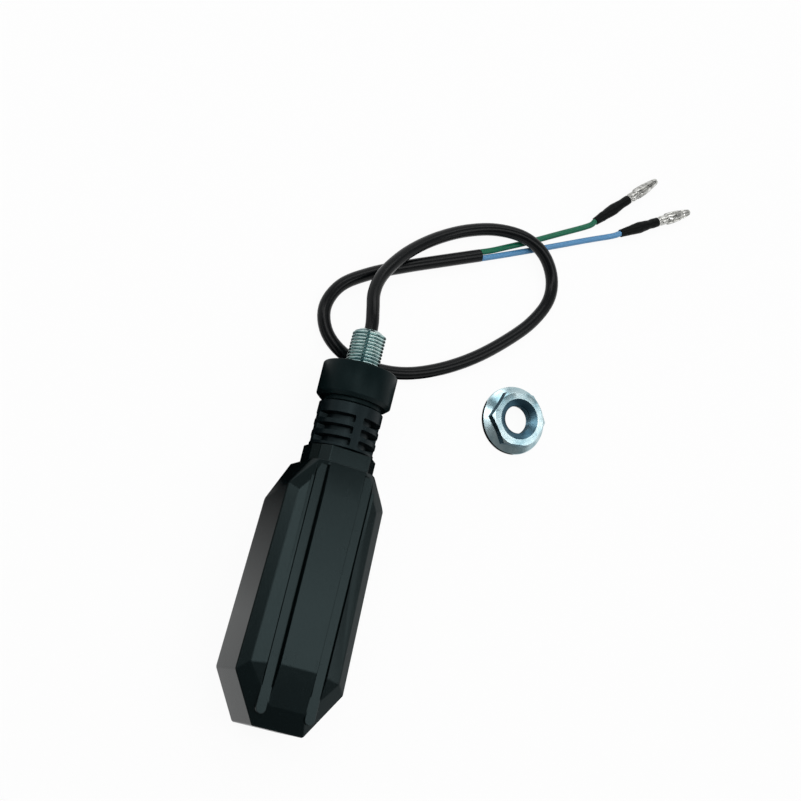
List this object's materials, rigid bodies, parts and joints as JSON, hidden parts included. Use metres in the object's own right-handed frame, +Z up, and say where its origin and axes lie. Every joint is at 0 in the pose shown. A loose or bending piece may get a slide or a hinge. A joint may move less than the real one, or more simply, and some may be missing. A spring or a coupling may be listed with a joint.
{
  "type": "motorcycle turn signal indicator",
  "caption": "LED turn signal on a flexible rubber stem with a hollow threaded stud, loose flange nut and two-wire cable with bullet terminals.",
  "frame": {"origin": "on the mounting stud's axis, in the plane of the collar's seating face", "axes": "+X across the lamp, +Y along the stud towards its free end, +Z up with the lamp lying lens down"},
  "size_m": [0.1192, 0.2028, 0.024],
  "materials": {
    "cover_black": "matte moulded, fine grain",
    "shell_black": "satin moulded",
    "smoked_lens": "smoked, polished",
    "black_rubber": "soft moulded",
    "reflector_silver": "metallised plastic",
    "board_green": "solder mask",
    "led_amber": "phosphor",
    "ceramic_black": "glazed",
    "zinc_steel": "blue zinc plated",
    "cable_sheath": "satin vinyl",
    "wire_sleeve_green": "satin vinyl",
    "wire_sleeve_blue": "satin vinyl",
    "heat_shrink_black": "satin",
    "nickel": "nickel plated brass"
  },
  "bodies": {
    "mount_end": {"mounting_collar": "black_rubber", "threaded_stud": "zinc_steel", "cable": "cable_sheath", "wire_green": "wire_sleeve_green", "wire_blue": "wire_sleeve_blue", "heat_shrink_green": "heat_shrink_black", "heat_shrink_blue": "heat_shrink_black", "bullet_green": "nickel", "bullet_blue": "nickel"},
    "stem": {"flex_stem": "black_rubber", "stem_lead": "cable_sheath"},
    "lamp": {"rear_cover": "cover_black", "front_shell": "shell_black", "lens": "smoked_lens", "lens_seal": "black_rubber", "reflector": "reflector_silver", "led_board": "board_green", "leds": "led_amber", "resistors": "ceramic_black", "board_screws": "zinc_steel", "cable_grommet": "black_rubber", "board_leads": "wire_sleeve_green"},
    "nut": {"flange_nut": "zinc_steel"}
  },
  "joints": [
    {"name": "stem_swing", "type": "hinge", "parent": "mount_end", "child": "stem", "pos_m": [0, -0.0152, 0], "axis": [0, 0, 1], "range_deg": [-25, 25], "stiffness_Nm_per_rad": 1.6, "deforming": ["flex_stem", "stem_lead"]},
    {"name": "stem_tilt", "type": "hinge", "parent": "stem", "child": "lamp", "pos_m": [0, -0.0216, 0], "axis": [1, 0, 0], "range_deg": [-25, 25], "stiffness_Nm_per_rad": 1.6, "deforming": ["flex_stem", "stem_lead"]},
    {"name": "nut_lift", "type": "slide", "parent": "mount_end", "child": "nut", "axis": [0, 0, 1], "range_m": [0, 0.03]}
  ]
}
